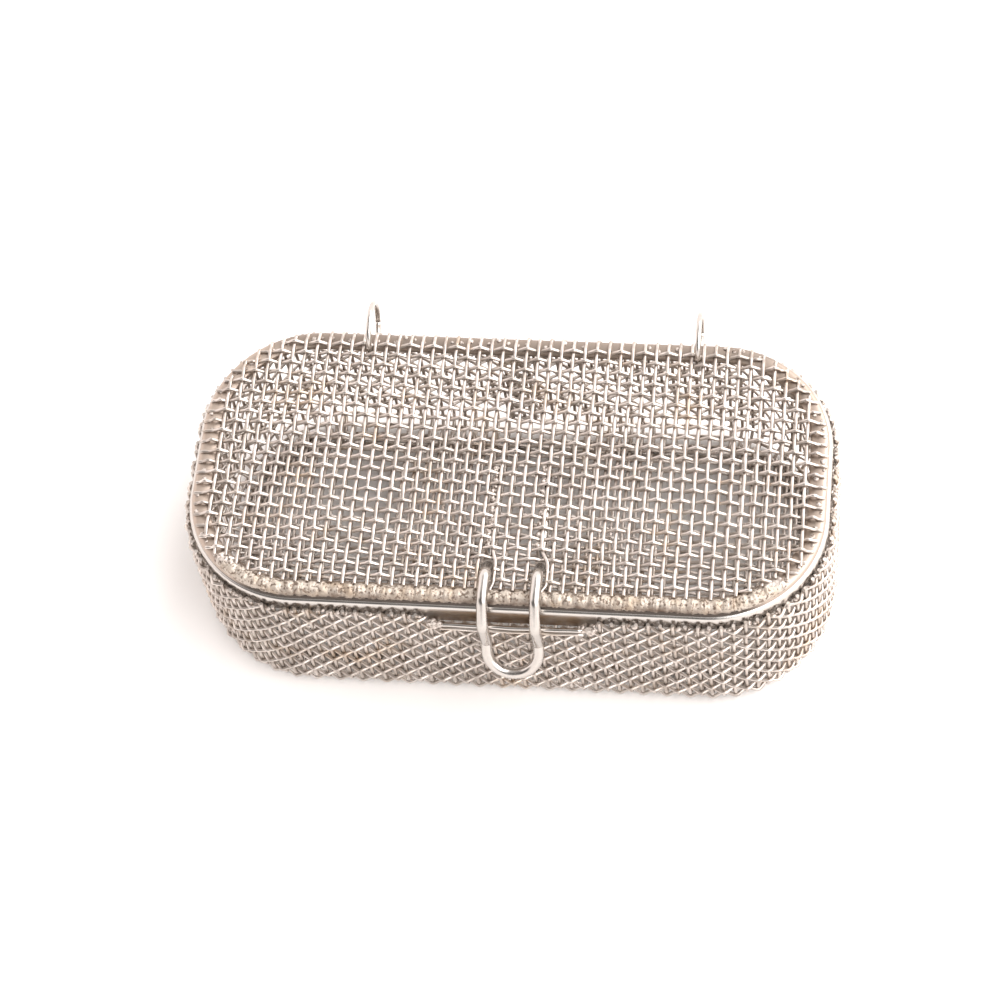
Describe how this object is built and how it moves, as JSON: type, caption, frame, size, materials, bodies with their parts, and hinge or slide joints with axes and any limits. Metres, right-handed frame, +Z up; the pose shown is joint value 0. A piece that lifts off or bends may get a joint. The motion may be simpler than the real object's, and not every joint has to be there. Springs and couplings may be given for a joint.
{
  "type": "mesh instrument basket",
  "caption": "Small rounded oblong basket of woven steel wire mesh with a hinged mesh lid on wire rings and a sprung wire latch.",
  "frame": {"origin": "middle of the footprint, on the surface that the basket stands on", "axes": "+X along the length, to the right when the latch faces you; -Y towards the latch; +Z up"},
  "size_m": [0.0838, 0.0488, 0.0274],
  "materials": {
    "mesh_wire": "woven stainless steel wire, satin",
    "rim_steel": "rolled stainless steel strip, polished",
    "latch_wire": "drawn stainless spring wire, bright",
    "ring_wire": "drawn stainless wire, bright",
    "weld_metal": "heat-tinted weld"
  },
  "bodies": {
    "basket": {"floor_long_wires": "mesh_wire", "floor_cross_wires": "mesh_wire", "floor_tack_welds": "weld_metal", "wall_front_uprights": "mesh_wire", "wall_rear_uprights": "mesh_wire", "wall_left_uprights": "mesh_wire", "wall_right_uprights": "mesh_wire", "corner_front_left_uprights": "mesh_wire", "corner_front_right_uprights": "mesh_wire", "corner_rear_left_uprights": "mesh_wire", "corner_rear_right_uprights": "mesh_wire", "wall_hoops": "mesh_wire", "wall_seam_lap": "mesh_wire", "rim_band": "rim_steel", "wall_tack_welds": "weld_metal", "catch_wire": "latch_wire", "catch_welds": "weld_metal"},
    "lid": {"lid_strip": "rim_steel", "lid_long_wires": "mesh_wire", "lid_cross_wires": "mesh_wire", "lid_front_weld": "weld_metal", "lid_tack_welds": "weld_metal", "latch_leg_left": "latch_wire", "latch_leg_right": "latch_wire", "latch_leg_welds": "weld_metal"},
    "latch": {"latch_loop": "latch_wire"},
    "ring_left": {"hinge_ring_left": "ring_wire"},
    "ring_right": {"hinge_ring_right": "ring_wire"}
  },
  "joints": [
    {"name": "lid_hinge", "type": "hinge", "parent": "basket", "child": "lid", "pos_m": [0, 0.0202, 0.0234], "axis": [-1, 0, 0], "range_deg": [0, 180]},
    {"name": "latch_flex", "type": "hinge", "parent": "lid", "child": "latch", "pos_m": [0.002, -0.0142, 0.0232], "axis": [-1, 0, 0], "range_deg": [0, 20], "stiffness_Nm_per_rad": 0.15},
    {"name": "ring_left_turn", "type": "hinge", "parent": "basket", "child": "ring_left", "pos_m": [-0.02002, 0.0202, 0.0234], "axis": [-1, 0, 0], "continuous": true},
    {"name": "ring_right_turn", "type": "hinge", "parent": "basket", "child": "ring_right", "pos_m": [0.0231, 0.0202, 0.0234], "axis": [-1, 0, 0], "continuous": true}
  ]
}
